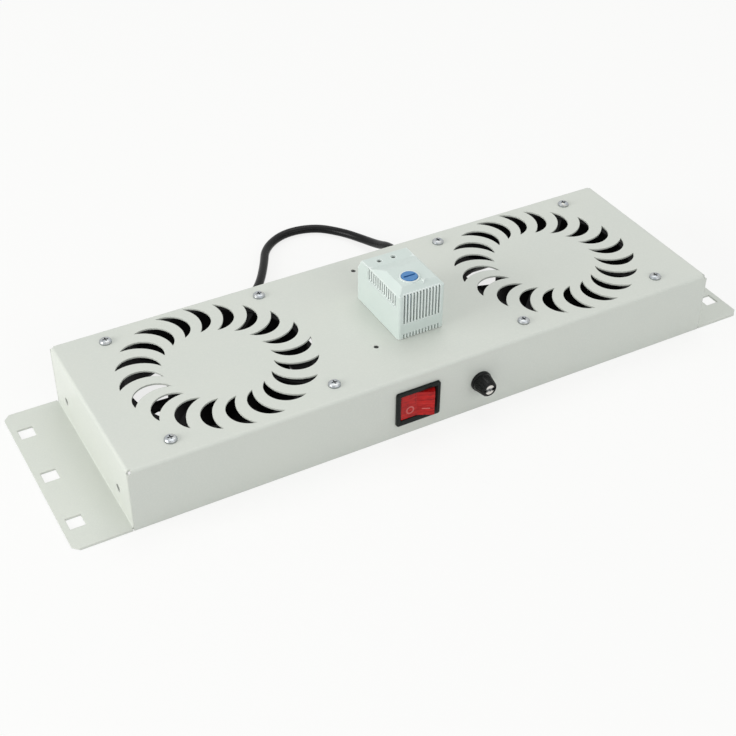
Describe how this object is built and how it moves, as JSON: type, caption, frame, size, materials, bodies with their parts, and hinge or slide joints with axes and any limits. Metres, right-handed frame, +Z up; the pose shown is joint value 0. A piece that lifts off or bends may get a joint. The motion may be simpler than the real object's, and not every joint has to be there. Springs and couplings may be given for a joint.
{
  "type": "rack fan tray",
  "caption": "Sheet metal rack fan tray with two crescent louvre grilles over fans, a top thermostat, a lit rocker switch, a fuse holder and a mains lead.",
  "frame": {"origin": "middle of the part's outline without its mains lead, at the plane of the ears' undersides", "axes": "+X along the tray to the right, +Y to the back where the mains lead leaves, +Z up through the grilles"},
  "size_m": [0.4826, 0.2517, 0.082],
  "materials": {
    "cover_paint": "satin light grey powder coat",
    "zinc": "bright zinc plated",
    "black_steel": "black oxide",
    "fan_casting": "black painted die casting",
    "impeller_plastic": "black moulding",
    "ferrite": "dark, dull",
    "shaft_steel": "ground",
    "bearing_bronze": "sintered bronze",
    "laminations": "stacked electrical sheet",
    "copper": "enamelled copper",
    "tinned": "tinned brass",
    "sleeve_clear": "natural nylon",
    "wire_black": "matte",
    "wire_brown": "matte",
    "wire_earth": "matte, yellow and green",
    "thermostat_grey": "fine matte moulding",
    "thermostat_inner": "matte moulding",
    "dial_blue": "smooth",
    "bimetal": "rolled strip",
    "brass_plain": "turned and stamped",
    "switch_black": "smooth moulding",
    "rocker_red": "glossy, lets some light through",
    "lamp_glass": "clear",
    "silver_contact": "silver plated",
    "fuse_black": "thermoset moulding",
    "fuse_glass": "clear",
    "nickel": "nickel plated",
    "nylon_white": "natural nylon",
    "cord_black": "slightly shiny sheath",
    "strap_black": "hook and loop strap"
  },
  "bodies": {
    "tray": {"cover": "cover_paint", "fan_screws": "zinc", "nuts": "zinc", "fan_bearings": "bearing_bronze", "fan_sleeves": "sleeve_clear", "thermostat_case": "thermostat_grey", "thermostat_base": "thermostat_grey", "thermostat_contact_carrier": "thermostat_inner", "thermostat_bimetal_strip": "bimetal", "thermostat_clamps": "brass_plain", "thermostat_terminal_screws": "zinc", "lead_grommet": "wire_black", "thermostat_leads": "wire_black", "switch_body": "switch_black", "switch_lamp": "lamp_glass", "switch_terminals": "tinned", "fuse_holder_body": "fuse_black", "fuse_holder_nut": "fuse_black", "fuse_holder_terminals": "tinned", "terminal_block": "nylon_white", "cable_tie_base": "nylon_white", "cable_tie": "nylon_white", "inner_screws": "black_steel", "earth_stud": "zinc", "earth_lug": "tinned", "earth_wire": "wire_earth", "spade_sleeves": "sleeve_clear", "switch_wires": "wire_brown", "fuse_wires": "wire_brown", "cord_gland": "cord_black", "supply_tail": "cord_black", "mains_cord": "cord_black", "cord_hank": "cord_black", "cord_strap": "strap_black", "plug_body": "cord_black", "plug_pins": "nickel", "left_fan_frame": "fan_casting", "left_fan_core": "laminations", "left_fan_windings": "copper", "left_fan_terminals": "tinned", "left_fan_lead": "wire_black", "right_fan_frame": "fan_casting", "right_fan_core": "laminations", "right_fan_windings": "copper", "right_fan_terminals": "tinned", "right_fan_lead": "wire_black"},
    "left_fan_rotor": {"left_fan_impeller": "impeller_plastic", "left_fan_rotor_ring": "ferrite", "left_fan_shaft": "shaft_steel"},
    "right_fan_rotor": {"right_fan_impeller": "impeller_plastic", "right_fan_rotor_ring": "ferrite", "right_fan_shaft": "shaft_steel"},
    "rocker": {"switch_rocker": "rocker_red", "switch_plungers": "thermostat_inner"},
    "contact_bridges": {"switch_contact_bridges": "silver_contact"},
    "thermostat_dial": {"thermostat_dial": "dial_blue"},
    "fuse_carrier": {"fuse_carrier": "tinned", "fuse_glass_tube": "fuse_glass", "fuse_end_caps": "nickel"},
    "fuse_cap": {"fuse_cap": "fuse_black"}
  },
  "joints": [
    {"name": "left_fan_spin", "type": "hinge", "parent": "tray", "child": "left_fan_rotor", "pos_m": [-0.1204, 0.00655, 0.02], "axis": [0, 0, 1], "continuous": true},
    {"name": "right_fan_spin", "type": "hinge", "parent": "tray", "child": "right_fan_rotor", "pos_m": [0.1204, 0.00655, 0.02], "axis": [0, 0, 1], "continuous": true},
    {"name": "rocker_turn", "type": "hinge", "parent": "tray", "child": "rocker", "pos_m": [-0.0184, -0.0579, 0.0215], "axis": [0, 0, 1], "range_deg": [0, 26]},
    {"name": "contact_bridge_turn", "type": "hinge", "parent": "tray", "child": "contact_bridges", "pos_m": [-0.0184, -0.0495, 0.0215], "axis": [0, 0, 1], "range_deg": [-7.8, 0]},
    {"name": "dial_turn", "type": "hinge", "parent": "tray", "child": "thermostat_dial", "pos_m": [0.001, -0.01485, 0.0808], "axis": [0, 0, 1], "range_deg": [-135, 135]},
    {"name": "fuse_pull", "type": "slide", "parent": "tray", "child": "fuse_carrier", "axis": [0, -1, 0], "range_m": [0, 0.03]},
    {"name": "fuse_cap_turn", "type": "hinge", "parent": "fuse_carrier", "child": "fuse_cap", "pos_m": [0.0275, -0.0669, 0.0216], "axis": [0, -1, 0], "range_deg": [0, 90]}
  ],
  "couplings": [
    {"joint": "contact_bridge_turn", "follows": "rocker_turn", "ratio": -0.3}
  ]
}
